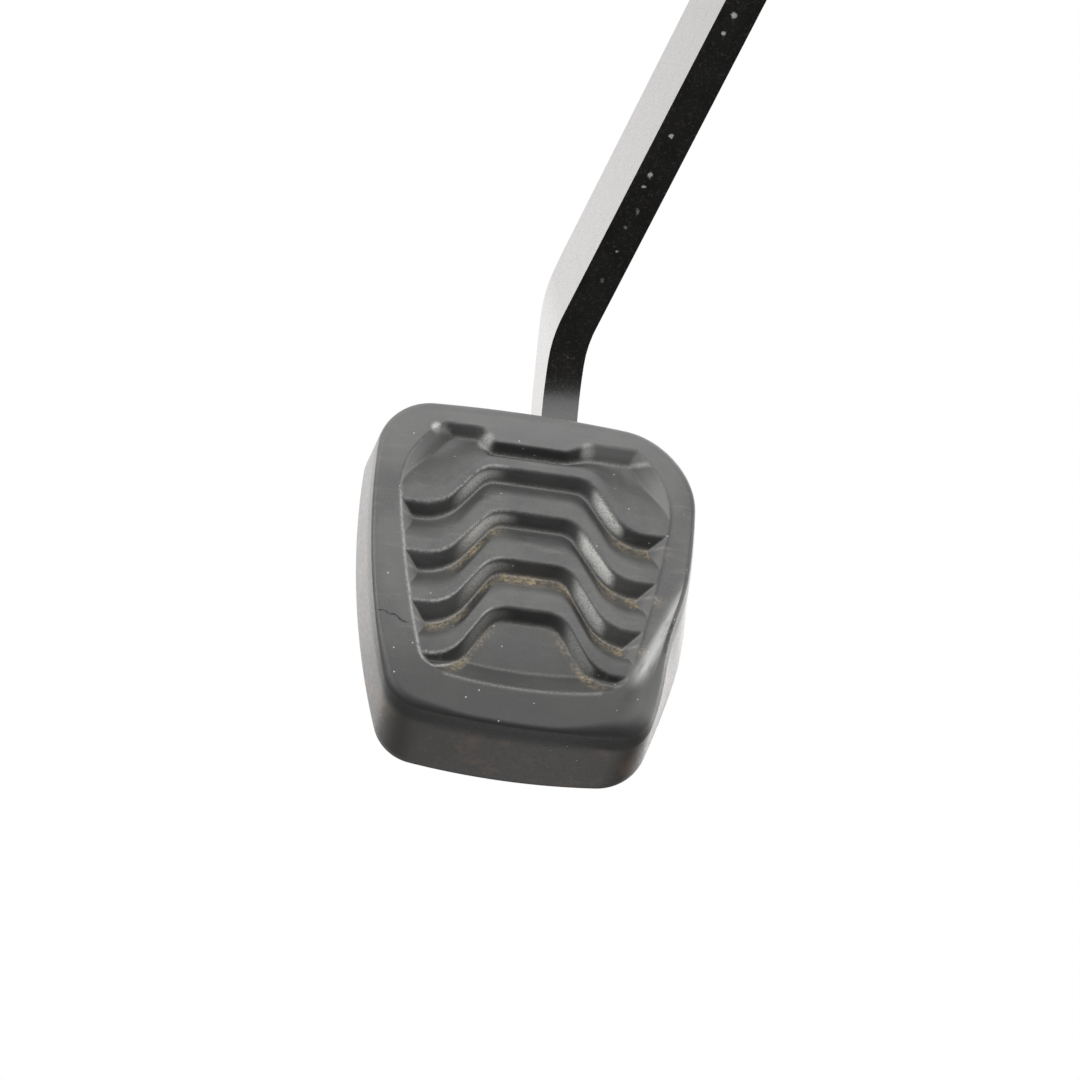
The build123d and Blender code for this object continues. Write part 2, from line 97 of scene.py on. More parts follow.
# %% Camera
camera_from_pad = Vector((-0.15, -0.9142, 0.3768))
camera_distance = 0.8
camera_target = pad_place(-1.5, 0.0, 0.0)
picture_centre = Vector((-0.03204, -0.18017, -0.2380))
camera_roll = math.radians(11.375)
lens = bpy.data.cameras.new("camera")
lens.sensor_width = 36.0
lens.lens = 140.53
camera = bpy.data.objects.new("camera", lens)
bpy.context.collection.objects.link(camera)
camera.location = camera_target + camera_distance * camera_from_pad
aim = (picture_centre - camera.location).to_track_quat("-Z", "Y")
camera.rotation_euler = (aim.to_matrix() @ Matrix.Rotation(camera_roll, 3, "Z")).to_euler()
bpy.context.scene.camera = camera
print("camera", tuple(round(x, 4) for x in camera.location))

# %% [markdown]
# The pad's outline is a chain of five arcs a side: crowned top, shoulder, bowed flank, heel and bowed
# foot. Points typed in by hand would dent somewhere; arcs that touch give a fair curve from few radii.

# %% Arcs of an outline
OUTLINE_POINTS = 576
half_width = 31.35
widest_v = 12.0
flank_radius = 144.0
top_radius = 290.0
bottom_radius = 157.0


def circles_meet(c, r, d, s, up):
    """Right-hand meeting point of two circles, upper or lower."""
    gap = np.linalg.norm(d - c)
    along = (gap * gap + r * r - s * s) / (2 * gap)
    off = math.sqrt(max(r * r - along * along, 0.0))
    line = (d - c) / gap
    square = np.array((-line[1], line[0]))
    found = [c + along * line + k * off * square for k in (-1, 1)]
    return max(found, key=lambda p: p[0] + (0.01 * p[1] if up else -0.01 * p[1]))


def swing(centre, start, end, count):
    """Points of an arc from one point to another about a centre, the short way."""
    a = math.atan2(*(start - centre)[::-1])
    b = math.atan2(*(end - centre)[::-1])
    b = a + (b - a + math.pi) % (2 * math.pi) - math.pi
    t = np.linspace(a, b, count)
    return centre + np.linalg.norm(start - centre) * np.stack((np.cos(t), np.sin(t)), 1)


def half_outline(wide, top, bottom, shoulder, heel, fall):
    """Right half of an outline, from its top centre round to its bottom centre."""
    top_c = np.array((-top_radius * math.sin(fall), top - top_radius * math.cos(fall)))
    flank_c = np.array((wide - flank_radius, widest_v))
    low_c = np.array((bottom_radius * math.sin(fall), bottom + bottom_radius * math.cos(fall)))
    turn_c = circles_meet(top_c, top_radius - shoulder, flank_c, flank_radius - shoulder, True)
    heel_c = circles_meet(low_c, bottom_radius - heel, flank_c, flank_radius - heel, False)

    def touch(centre, radius, corner):
        return centre + (corner - centre) * radius / np.linalg.norm(corner - centre)

    a, b = touch(top_c, top_radius, turn_c), touch(flank_c, flank_radius, turn_c)
    c, d = touch(flank_c, flank_radius, heel_c), touch(low_c, bottom_radius, heel_c)
    half = np.concatenate((
        swing(top_c, np.array((0.0, top)), a, 60),
        swing(turn_c, a, b, 60)[1:],
        swing(flank_c, b, c, 80)[1:],
        swing(heel_c, c, d, 40)[1:],
        swing(low_c, d, np.array((0.0, bottom)), 60)[1:],
    ))
    # the sides get closer points than the top and foot, because the risers run out to them
    parts = 0.7 * np.linalg.norm(np.diff(half, axis=0), axis=1) + 0.8 * np.abs(np.diff(half[:, 1]))
    steps = np.concatenate(([0.0], np.cumsum(parts)))
    even = np.linspace(0.0, steps[-1], OUTLINE_POINTS // 2 + 1)
    return np.stack((np.interp(even, steps, half[:, 0]), np.interp(even, steps, half[:, 1])), 1)


def outline(top, bottom, wide, shoulder, heel, fall):
    """Closed outline, clockwise from the top centre; wide, shoulder and heel are given for each side."""
    right = half_outline(wide[1], top, bottom, shoulder[1], heel[1], fall)
    left = half_outline(wide[-1], top, bottom, shoulder[-1], heel[-1], -fall)
    return np.concatenate((right, left[-2:0:-1] * (-1.0, 1.0)))


print("an outline has", OUTLINE_POINTS, "points")

# %% [markdown]
# Top and foot fall a little to the right and the left shoulder is the tighter one, as in the
# photograph. The back edge stands out past the front one, most at the lower right, where heels have
# also worn the front edge in. The foot plate's pocket keeps the plain symmetric form of the solid model.

# %% Front and back outlines
top_v = 31.1
front_bottom_v = -33.75
back_bottom_v = -38.5
edge_fall = math.radians(0.76)
shoulders = {1: 16.0, -1: 11.0}
heels = {1: 7.6, -1: 8.4}
back_grow = 0.5
back_flare = {1: 2.3, -1: 0.3}
back_heels = {1: 10.5, -1: 8.6}
back_bulge, bulge_v, bulge_reach = 1.45, -9.0, 16.0
front_bite, bite_v, bite_reach = 1.4, -12.0, 8.0
plain_shoulder, plain_heel = 15.5, 8.5


def plain_outline(inset):
    """Symmetric outline of the foot plate's pocket and window."""
    wide, shoulder = half_width + back_grow - inset, plain_shoulder - inset
    heel = max(plain_heel - inset, 1.0)
    return outline(top_v + back_grow - inset, front_bottom_v - back_grow + inset,
                   {1: wide, -1: wide}, {1: shoulder, -1: shoulder}, {1: heel, -1: heel}, 0.0)


def swell(ring, amount, middle_v, reach):
    """Moves the right-hand side of a ring outwards, most at one height."""
    bump = amount * np.exp(-((ring[:, 1] - middle_v) / reach) ** 2)
    ring[:, 0] += np.where(ring[:, 0] > 0, bump, 0.0)


both = {1: half_width, -1: half_width}
flared = {side: half_width + back_flare[side] for side in both}
front_outline = outline(top_v, front_bottom_v, both, shoulders, heels, edge_fall)
back_outline = outline(top_v + back_grow, back_bottom_v, flared, shoulders, back_heels, edge_fall)
swell(back_outline, back_bulge, bulge_v, bulge_reach)
swell(front_outline, -front_bite, bite_v, bite_reach)
print("front", np.ptp(front_outline, axis=0).round(2), "back", np.ptp(back_outline, axis=0).round(2))

# %% [markdown]
# The tread lies in a recess with sloping walls. It could be cut with booleans, but a face that is a
# height over a flat plan is simpler to say as a formula: at each point of the face the formula gives how
# deep the rubber lies there, and a fine mesh then follows it. The recess's walls come first.

# %% Recess
recess_depth = 3.0
recess_top = 25.0
recess_bottom = -26.1
recess_half = 26.1
foot_radius = 90.0
side_run = 2.8
top_run = 1.4
bottom_run = 4.4
# upwards the side walls get gentler by corner_run, and the top wall does at the right by run_right
gentler_from, gentler_over = 8.0, 14.0
corner_run = 1.0
run_right = 0.9
# the upper corners lean in, the lower ones are round, and so is the line where their walls meet
corner_lean = 1.2
low_corner = 3.5
corner_lift = 1.9
corner_round = 0.5
# the top edge steps down over a tab in its middle, and its ramps lie between these u
tab_step = 1.5
tab_left = (8.8, 11.7)
tab_right = (5.6, 10.2)
lift_left, lift_right = 1.2, 0.8


def circle_u(v, p, q, r):
    """Right-hand side, at heights v, of the circle through three points."""
    rows = np.array([(2 * x, 2 * y, 1.0) for x, y in (p, q, r)])
    a, b, k = np.linalg.solve(rows, np.array([x * x + y * y for x, y in (p, q, r)]))
    return a + np.sqrt(np.maximum(k + a * a + b * b - (v - b) ** 2, 0.0))


def recess_side(v):
    """Half width of the recess at its brim."""
    corner, shoulder = (recess_half - 5.3, recess_top - 0.7), (recess_half - 1.1, recess_top - 6.4)
    widest = (recess_half, recess_top - 15.5)
    flank, ankle = (recess_half - 2.2, recess_bottom + 21.1), (recess_half - 5.8, recess_bottom + 5.5)
    upper = circle_u(v, corner, shoulder, widest)
    upper = np.where(v > corner[1], corner[0] - corner_lean * (v - corner[1]), upper)
    into_corner = np.clip(1 - (v - recess_bottom - corner_lift) / low_corner, 0.0, 1.0)
    lower = circle_u(v, widest, flank, ankle) - low_corner * (1 - np.sqrt(1 - into_corner ** 2))
    return np.where(v > widest[1], upper, lower)


def recess_foot(u):
    """Lower brim of the recess, bowed down in its middle."""
    return recess_bottom + u ** 2 / (2 * foot_radius)


def brim_of_top(u):
    """Top edge of the recess, which steps down over the tab in its middle."""
    inner, outer = [np.where(u < 0, left, right) for left, right in zip(tab_left, tab_right)]
    lift = np.where(u < 0, lift_left, lift_right)
    return recess_top + lift - (tab_step + lift) * np.clip((outer - np.abs(u)) / (outer - inner), 0.0, 1.0)


def run_of_top(u):
    """Width of the recess's top wall, which is gentler at its right end."""
    return top_run + run_right * np.clip((u - tab_right[0]) / (tab_right[1] - tab_right[0]), 0.0, 1.0)


def within_walls(u, v):
    """How far inside its sloping walls a point lies: 0 at the brim, 1 over the floor."""
    run = side_run + corner_run * np.clip((v - gentler_from) / gentler_over, 0.0, 1.0)
    side, low_wall = (recess_side(v) - np.abs(u)) / run, (v - recess_foot(u)) / bottom_run
    off_side, off_low = np.maximum(corner_round - side, 0.0), np.maximum(corner_round - low_wall, 0.0)
    walls = np.minimum.reduce([side, low_wall, (brim_of_top(u) - v) / run_of_top(u)])
    in_corner = (side < corner_round) & (low_wall < corner_round)
    return np.clip(np.where(in_corner, corner_round - np.hypot(off_side, off_low), walls), 0.0, 1.0)


print("recess", 2 * recess_half, "by", recess_top - recess_bottom, "mm")

# %% [markdown]
# Four waved ridges cross the recess. Each has level ends, two diagonals and a level plateau, with the
# bends rounded: tighter on the crest than in the trough. A riser falls from the crest to its foot, which
# is the same wave moved square to itself, so the riser is equally wide all along.

# %% Ridges
crest_depth = 0.25
riser_run = 2.2
crest_bend = 6.0
trough_bend = 8.0
end_land = 3.0
# each ridge: ends and plateau below the recess's top edge, half plateau, half foot, width of its land,
# then how far its crest and foot are lifted at the left end and at the right end
ridges = (
    (16.6, 6.3, 10.4, 18.1, 1.8, (0.9, 0.8), (0.4, 0.45)),
    (26.5, 15.2, 8.2, 17.0, 3.0, (0.7, 0.0), (0.35, -0.1)),
    (36.7, 25.0, 7.8, 15.8, 3.0, (0.9, -0.3), (0.35, -0.3)),
    (46.5, 34.7, 7.0, 14.4, 3.0, (0.4, 0.2), (0.7, 1.0)),
)


def rounded_wave(u, ends_v, plateau_v, plateau_half, foot_half, crest_r, trough_r):
    """Height of a waved line at u: level ends, sloping flanks and a level middle, bends rounded."""
    slope = (plateau_v - ends_v) / (foot_half - plateau_half)
    turn = math.atan(slope)
    x = np.abs(u)
    line = np.clip(plateau_v - slope * (x - plateau_half), ends_v, plateau_v)
    bends = ((plateau_half, crest_r, 1, plateau_v), (foot_half, trough_r, -1, ends_v))
    for corner, radius, sign, level in bends:
        reach = radius * math.tan(turn / 2)
        past = sign * (x - corner) + reach
        end = reach * (1 + math.cos(turn))
        arc = radius - np.sqrt(np.maximum(radius ** 2 - np.clip(past, 0, end) ** 2, 0.0))
        line = np.where((past > 0) & (past < end), level - sign * arc, line)
    return line


def wave(u, ridge, offset=0.0, rise=(0.0, 0.0)):
    """A ridge's crest line, moved square to itself by offset or lifted by rise."""
    ends_drop, plateau_drop, plateau_half, foot_half = ridge[:4]
    ends_v, plateau_v = recess_top - ends_drop, recess_top - plateau_drop
    turn = math.atan((plateau_v - ends_v) / (foot_half - plateau_half))
    spread = offset * math.tan(turn / 2)
    return rounded_wave(
        u, ends_v + offset + rise[0], plateau_v + offset + rise[1],
        plateau_half + spread, foot_half + spread,
        max(crest_bend + offset, 1.0), max(trough_bend - offset, 1.0))


def riser_edges(u, ridge):
    """Crest and foot of a riser; its two ends differ a little."""
    crests = [wave(u, ridge, rise=(end[0], 0.0)) for end in ridge[5:]]
    feet = [wave(u, ridge, offset=-riser_run, rise=(end[1], 0.0)) for end in ridge[5:]]
    return np.where(u < 0, *crests), np.where(u < 0, *feet)


print("plateaus at v", [round(recess_top - ridge[1], 2) for ridge in ridges])

# %% [markdown]
# Above each crest lies a level land, and from there a long slope runs back down to the foot of the ridge
# above. The height of the face is the higher of ridges and walls. Sharp edges would look like cut metal,
# so the mean height over a small disc rounds them all alike.

# %% Height of the face
longest_slope = 6.5
first_slope = 9.5
least_slope = 0.6


def sharp_height(u, v):
    """Height of the face before its edges are rounded: 0 on the rim, down to minus the depth."""
    tread = np.full_like(v, -recess_depth)
    above = brim_of_top(u) - run_of_top(u)
    for ridge in ridges:
        crest, low = riser_edges(u, ridge)
        land = np.minimum(wave(u, ridge, rise=(end_land, ridge[4])), above - least_slope)
        longest = first_slope if ridge is ridges[0] else longest_slope
        above = np.minimum(above, land + longest)
        riser = (v - low) / np.maximum(crest - low, 1e-6)
        slope = np.clip((above - v) / np.maximum(above - land, 1e-6), 0.0, 1.0)
        lift = np.clip(np.minimum(riser, slope * slope * (3 - 2 * slope)), 0.0, 1.0)
        tread = np.maximum(tread, -recess_depth + (recess_depth - crest_depth) * lift)
        above = low
    return np.minimum(np.maximum(-recess_depth * within_walls(u, v), tread), 0.0)


def softened(u, v, radius):
    """Mean height over a small disc: rounds every edge of the tread by about that radius."""
    total, count = sharp_height(u, v), 1
    for ring, points in ((0.5, 6), (1.0, 10)):
        for k in range(points):
            a = 2 * math.pi * (k + 0.5 * ring) / points
            total = total + sharp_height(u + ring * radius * math.cos(a), v + ring * radius * math.sin(a))
            count += 1
    return total / count


print("heights", softened(np.array([0.0, 0.0, 24.0, 30.0]), np.array([17.0, -15.0, 0.0, 0.0]), 0.3).round(2))

# %% [markdown]
# Heels turning off the pad have worn the rim's lower right side into a bevel. It starts on the outer
# edge beside the second ridge and widens down to the recess's lower corner.

# %% Worn side of the rim
wear_top = np.array((30.2, -0.5))
wear_low = np.array((20.2, -22.9))
wear_slope = 0.42
wear_fold = 1.6


def smooth_step(x, low, high):
    """0 below low, 1 above high, smooth between."""
    t = np.clip((x - low) / (high - low), 0.0, 1.0)
    return t * t * (3 - 2 * t)


def past_fold(u, v):
    """Distance beyond the line where the bevel starts, in millimetres."""
    along = (wear_low - wear_top) / np.linalg.norm(wear_low - wear_top)
    return (u - wear_top[0]) * -along[1] + (v - wear_top[1]) * along[0]


def wear_fade(v):
    """The bevel dies out towards the top and the foot of the pad."""
    return smooth_step(v, -33.0, -18.0) * smooth_step(-v, -8.0, 2.0)


def worn_away(u, v):
    """How far the rim is worn down, in millimetres."""
    past = np.maximum(past_fold(u, v), 0.0)
    return wear_slope * past ** 2 / (past + wear_fold) * wear_fade(v)


print("worn by", worn_away(np.array([28.0, 27.0]), np.array([-10.0, -20.0])).round(2), "mm")

# %% [markdown]
# The pad is one closed skin made of rings that grow from the middle of the face to the rim, over the
# rounded edge, down the skirt, round the back lip and into the pocket that grips the foot plate. Bands
# of four-sided faces join them. The skin stands in for the solid pad, so it rides the same body.

# %% Skin of the pad
FACE_RINGS = 126
pad_depth = 18.5
back_radius = 0.8
lip_thickness = 3.0
pocket_depth = 6.1
pocket_inset = 4.3
window_inset = 9.0
slot_u, slot_v, slot_half = 6.0, 15.3, 4.3
face_middle = np.array((0.0, -1.5))
edge_softness = 0.2
wear_reach = 9.0


def outward(ring):
    """Unit normals of a closed ring of plan points."""
    along = np.roll(ring, -1, axis=0) - np.roll(ring, 1, axis=0)
    along /= np.linalg.norm(along, axis=1)[:, None]
    return np.stack((-along[:, 1], along[:, 0]), 1)


def edge_radius(ring):
    """Radius of the rim's outer edge at each point of the outline."""
    u, v = ring[:, 0], ring[:, 1]
    right_heel, left_heel = np.hypot(u - 25.0, v + 30.0), np.hypot(u + 24.0, v + 30.0)
    return (1.1 + 1.3 * smooth_step(v, 16.0, 28.0) + 2.2 * (1 - smooth_step(right_heel, 4.0, 20.0))
            + 1.0 * (1 - smooth_step(left_heel, 3.0, 16.0)))


def side_wall(w):
    """Plan of the skirt at depths w, one for each outline point."""
    t = (-w / pad_depth)[:, None]
    return (1 - t) * front_outline + t * back_outline


def in_slot(ring):
    """Which plan points lie in the slot that lets the arm through the back lip."""
    return (np.abs(ring[:, 0] - slot_u) < slot_half) & (ring[:, 1] > slot_v)


def pad_rings():
    """Plan points and heights of every ring from the middle of the face to the middle of the pocket."""
    normal = outward(front_outline)
    radius = edge_radius(front_outline)
    brim = front_outline - radius[:, None] * normal
    level = np.ones(OUTLINE_POINTS)
    rings = [(face_middle + (brim - face_middle) * (k / FACE_RINGS), None) for k in range(1, FACE_RINGS + 1)]
    for k in range(1, 9):
        a = math.pi / 2 * k / 8
        rings.append((brim + (radius * math.sin(a))[:, None] * normal, -radius * (1 - math.cos(a))))
    for k in range(1, 13):
        w = -radius - (pad_depth - back_radius - radius) * k / 12
        rings.append((side_wall(w), w))
    base = side_wall((back_radius - pad_depth) * level)
    turn_in = outward(base)
    for k in range(1, 5):
        a = math.pi / 2 * k / 4
        plan = base - back_radius * (1 - math.cos(a)) * turn_in
        rings.append((plan, (back_radius * (1 - math.sin(a)) - pad_depth) * level))
    window, pocket = plain_outline(window_inset), plain_outline(pocket_inset)
    open_here = in_slot(pocket)
    window[open_here] = pocket[open_here] * 0.999
    last = rings[-1][0]
    rings += [(last + (window - last) * t, -pad_depth * level) for t in (0.3, 0.65, 1.0)]
    lip_w, floor_w = (lip_thickness - pad_depth) * level, (pocket_depth - pad_depth) * level
    rings += [(window, lip_w), (pocket, lip_w), (pocket, floor_w)]
    rings += [(face_middle + (pocket - face_middle) * t, floor_w) for t in (0.66, 0.33)]
    return rings


def skin(name, points, faces):
    """Smooth mesh object from row points and faces."""
    mesh = bpy.data.meshes.new(name)
    mesh.from_pydata(points, [], faces)
    mesh.update()
    mesh.polygons.foreach_set("use_smooth", [True] * len(mesh.polygons))
    piece = bpy.data.objects.new(name, mesh)
    bpy.context.collection.objects.link(piece)
    return piece


rings = pad_rings()
plan = np.concatenate([ring for ring, _ in rings])
level = np.concatenate([np.full(OUTLINE_POINTS, np.nan) if w is None else w for _, w in rings])
face = np.isnan(level)
level[face] = softened(plan[face, 0], plan[face, 1], edge_softness)
middle_w = softened(face_middle[:1], face_middle[1:], edge_softness)[0]
ends = [(*face_middle, middle_w), (*face_middle, pocket_depth - pad_depth)]
level = np.where(in_slot(plan), np.maximum(level, lip_thickness - pad_depth), level)
level -= worn_away(plan[:, 0], plan[:, 1]) * np.clip(1 + level / wear_reach, 0.0, 1.0)
local = np.concatenate((np.column_stack((plan, level)), np.array(ends)))
row_points = np.array(pad_centre) + MM * local @ np.array([pad_right, pad_up, pad_out])
n = OUTLINE_POINTS
faces = []
for k in range(len(rings) - 1):
    for i in range(n):
        j = (i + 1) % n
        faces.append((k * n + i, k * n + j, (k + 1) * n + j, (k + 1) * n + i))
first, last = len(rings) * n, (len(rings) - 1) * n
faces += [(first, (i + 1) % n, i) for i in range(n)]
faces += [(first + 1, last + i, last + (i + 1) % n) for i in range(n)]
pad = skin("tread_pad", row_points.tolist(), faces)
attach(pad, "pedal")
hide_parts("pad_rubber")

# %% [markdown]
# A thin pale line lies at the foot of each riser, partly dust and partly painted light, and the crests are
# pale, partly rubbed by the shoe and partly a painted highlight; both are mostly stronger on the left,
# towards the light. The material can't know where those are, so the mesh carries a number per point for
# each kind of mark. They come from the tread's own formulas, so they stay on their edges when a size is
# changed.

# %% Lines along crests and feet
line_width = 0.34
u, v = local[:, 0], local[:, 1]
on_face = np.concatenate((face, [True, False]))
fu, fv = u[on_face], v[on_face]
to_brim = np.abs(fu) - recess_side(fv)
inside = smooth_step(-to_brim, 0.1, 0.5)
# painted light: the crest and foot lines are stronger on the left, towards the light
on_left = smooth_step(-fu, 3.0, 9.0) * (1 - 0.6 * smooth_step(-fu, 16.0, 20.0))


def line_at(distance, width=line_width):
    """Soft line: 1 where the distance is nought, gone two or three widths away."""
    return np.exp(-(distance / width) ** 2)


feet, crests = np.zeros(len(fu)), np.zeros(len(fu))
for ridge in ridges:
    crest_v, foot_v = riser_edges(fu, ridge)
    crests = np.maximum(crests, (0.15 + 0.85 * on_left) * line_at(fv - crest_v, 0.8 * line_width))
    feet = np.maximum(feet, (0.35 + 0.65 * on_left) * line_at(fv - foot_v))
top_foot = brim_of_top(fu) - run_of_top(fu)
feet = np.maximum(feet, np.where(fu > 5.0, 1.0, 0.6) * line_at(fv - top_foot)) * inside
above_foot = fv - recess_foot(fu)
low_foot = 0.8 * line_at(above_foot - bottom_run, 0.35) * smooth_step(-np.abs(fu), -13.0, -10.0)
feet = np.maximum(feet, 0.3 * (line_at(above_foot, 0.35) + low_foot) * inside)
print("points on the face", len(fu))

# %% [markdown]
# The risers' diagonals are lighter, most on the two upper ridges: partly chalky scuffs, partly a painted
# highlight where they face the light. Three small corners by the top edge get the same painted highlight.
# Tan dust follows no rule, so its places are named, all just below the feet.

# %% Chalky scuffs, painted highlights and dust
RISER_CHALK_AND_SHINE = (0.95, 1.15, 0.6, 0.28)
# u, v and reach of the corners beside the tab and in the recess's upper left that get a painted highlight
CHALK_AND_SHINE_SPOTS = ((-10.4, 23.9, 1.25), (-20.3, 24.9, 0.95), (9.5, 24.5, 1.3))
DUST = (
    # u, v, reach, amount
    (-11.4, 1.6, 2.4, 1.0), (-13.5, -1.7, 2.0, 0.5), (-7.8, 6.1, 2.2, 0.6),
    (-3.2, -3.4, 2.8, 1.0), (0.7, -3.3, 2.6, 1.0), (7.0, -4.1, 2.6, 0.8),
    (-12.7, -12.5, 2.6, 0.5), (-7.9, -5.2, 2.6, 0.5), (-16.9, -14.1, 3.0, 0.6),
    (17.6, 6.5, 3.0, 0.5), (23.0, 5.4, 2.6, 0.7), (15.2, -3.2, 3.0, 0.6), (21.7, -4.8, 2.8, 0.9),
    (14.5, -14.0, 3.0, 0.6), (18.9, -15.9, 2.8, 0.9), (-8.1, -15.7, 3.0, 0.5), (-10.7, -22.1, 2.8, 0.8),
    (8.2, -14.9, 2.6, 0.5), (11.8, -21.5, 3.2, 0.7),
)
dust_gain = 1.7

chalk_and_shine, below_feet, dusty = np.zeros(len(fu)), np.zeros(len(fu)), np.zeros(len(fu))
# each riser's diagonals get chalk and a painted highlight
for ridge, riser_lightening in zip(ridges, RISER_CHALK_AND_SHINE):
    crest_v, foot_v = riser_edges(fu, ridge)
    across = (np.abs(fu) - ridge[2]) / (ridge[3] - ridge[2])
    right = smooth_step(across, 0.0, 0.3) * (1 - smooth_step(across, 0.75, 1.0))
    left = 0.95 * smooth_step(across, -0.7, 0.0) * (1 - smooth_step(across, 0.3, 0.8))
    band = smooth_step(fv, foot_v + 0.2, foot_v + 0.8) * (1 - smooth_step(fv, crest_v - 0.9, crest_v - 0.3))
    chalk_and_shine = np.maximum(chalk_and_shine, riser_lightening * band * np.where(fu > 0, right, left))
    below = smooth_step(foot_v - fv, -0.3, 0.1) * (1 - smooth_step(foot_v - fv, 0.8, 3.0))
    below_feet = np.maximum(below_feet, below)
# painted highlights on the three corners by the top edge
for cu, cv, reach in CHALK_AND_SHINE_SPOTS:
    chalk_and_shine = np.maximum(chalk_and_shine, np.exp(-(((fu - cu) ** 2 + (fv - cv) ** 2) / reach ** 2) ** 2))
for du, dv, reach, amount in DUST:
    dusty = np.maximum(dusty, dust_gain * amount * np.exp(-((fu - du) ** 2 + (fv - dv) ** 2) / reach ** 2))
print("chalky points", int((chalk_and_shine > 0.5).sum()), "dusty points", int((dusty * below_feet > 0.5).sum()))

# %% [markdown]
# The recess's walls get painted light, lighter than its floor, the left more than the right. Its brim
# is a painted highlight beside the left ends of the ridges and a dark line down the right side, and the
# wall under the tab gets painted shade. How steep the face is at each point tells walls and risers from
# level rubber.

# %% Walls and brims
probe = 0.2
probe_softness = 0.3
slope_u = (softened(fu + probe, fv, probe_softness) - softened(fu - probe, fv, probe_softness)) / (2 * probe)
slope_v = (softened(fu, fv + probe, probe_softness) - softened(fu, fv - probe, probe_softness)) / (2 * probe)
steep = np.hypot(slope_u, slope_v)
side_walls = smooth_step(np.sign(fu) * slope_u, 0.3, 0.6) * smooth_step(to_brim, -4.6, -4.2)
top_walls = np.where(fu < 0, 0.5 * smooth_step(-fu, 11.0, 12.0), smooth_step(fu, 7.5, 10.0))
top_walls *= smooth_step(fv, 22.6, 23.2)
# painted light on the recess's walls, stronger on the left
walls = np.maximum(side_walls * np.where(fu < 0, 1.0, 0.35), top_walls) * smooth_step(steep, 0.35, 0.7)

# painted highlight: a pale line along the left brim, carried with the crest lines
left_brim_highlight = np.where(fu < 0, line_at(to_brim + 0.15, 0.3), 0.0)
left_brim_highlight *= smooth_step(-fv, -14.0, -10.0) * smooth_step(fv, -24.0, -22.0)
crests = np.maximum(crests * inside, 0.9 * left_brim_highlight)
right_brim = np.where(fu > 0, line_at(to_brim - 0.1, 0.35), 0.0)
right_brim *= smooth_step(fv, -20.0, -16.0) * (1 - smooth_step(fv, 12.0, 22.0))
# painted shade on the wall under the tab, which faces down
under_tab_shade = smooth_step(fv, 22.0, 22.4) * (1 - smooth_step(fv, 23.2, 23.5))
under_tab_shade *= smooth_step(-np.abs(fu + 1.5), -7.5, -6.5)
print("steepest place", steep.max().round(2))

# %% [markdown]
# The worn bevel is polished along its fold, where a painted highlight lies too, and the outer edge beside
# it has a dark nick. The mesh also carries each point's place in the pad's own millimetres, so that the
# noises stay with the pad.

# %% Polish and painted highlight, nick and layers
polish_and_shine_past, polish_and_shine_width = 0.9, 1.2
nick_inside, nick_width, nick_depth = 0.5, 0.7, 3.0
right_edge = front_outline[:OUTLINE_POINTS // 2]
past_edge = u - np.interp(-v, -right_edge[:, 1], right_edge[:, 0])
nick = line_at(past_edge + nick_inside, nick_width) * (local[:, 2] > -nick_depth)
nick *= smooth_step(-v, 7.0, 9.0) * smooth_step(v, -16.5, -13.5)
# painted highlight along the bevel's fold, where it is also polished
polish_and_shine = line_at(past_fold(fu, fv) - polish_and_shine_past, polish_and_shine_width) * wear_fade(fv)
polish_and_shine *= 1 - smooth_step(-fv, 18.0, 24.0)
worn_rim = np.where(local[:, 2] > -6, np.clip(worn_away(u, v) / 0.5, 0, 1), 0.0)
layers = {
    "foot_dust_and_light": feet, "crest_wear_and_shine": crests, "chalk_and_shine": chalk_and_shine, "wall": walls,
    "dark_line_and_shade": np.maximum(right_brim, 0.6 * under_tab_shade), "riser": smooth_step(steep, 0.9, 1.4),
    "polish_and_shine": polish_and_shine, "dust": dusty * below_feet * (1 - side_walls), "nick": nick, "worn_rim": worn_rim,
}
for name, values in layers.items():
    # most marks are known on the face only, and are nought on the rest of the pad
    full = np.zeros(len(local), dtype=np.float32)
    full[on_face if len(values) == len(fu) else slice(None)] = values
    pad.data.attributes.new(name, "FLOAT", "POINT").data.foreach_set("value", full)
pad_mm_layer = pad.data.attributes.new("pad_mm", "FLOAT_VECTOR", "POINT")
pad_mm_layer.data.foreach_set("vector", local.astype(np.float32).ravel())
print("layers", [a.name for a in pad.data.attributes if not a.name.startswith(".")])

# %% [markdown]
# Materials are small trees of nodes. A few helpers keep them readable: one starts a material, and each
# of the others adds a node with its settings and links.

# %% Helpers for materials
def material(name):
    """New material, its node tree and its main shader."""
    made = bpy.data.materials.new(name)
    made.use_nodes = True
    return made, made.node_tree, made.node_tree.nodes["Principled BSDF"]


def add(tree, kind, sockets, result=0, **settings):
    """Adds a node; sockets maps its inputs to plain values or to other nodes' outputs."""
    node = tree.nodes.new("ShaderNode" + kind)
    for key, value in settings.items():
        setattr(node, key, value)
    for key, value in sockets.items():
        if isinstance(value, bpy.types.NodeSocket):
            tree.links.new(value, node.inputs[key])
        else:
            node.inputs[key].default_value = value
    return node.outputs[result]


def combine(tree, how, a, b):
    """Two numbers combined by a named operation."""
    return add(tree, "Math", {0: a, 1: b}, operation=how)


def times(tree, a, b):
    """Product of two numbers."""
    return combine(tree, "MULTIPLY", a, b)


def mix_colour(tree, amount, a, b):
    """Colour between a and b."""
    return add(tree, "Mix", {0: amount, 6: a, 7: b}, result=2, data_type="RGBA")


def ramp(tree, value, low, high, to_low=0.0, to_high=1.0):
    """Smooth, clamped change of a value's range."""
    return add(tree, "MapRange", {"Value": value, "From Min": low, "From Max": high, "To Min": to_low,
                                  "To Max": to_high}, interpolation_type="SMOOTHSTEP")


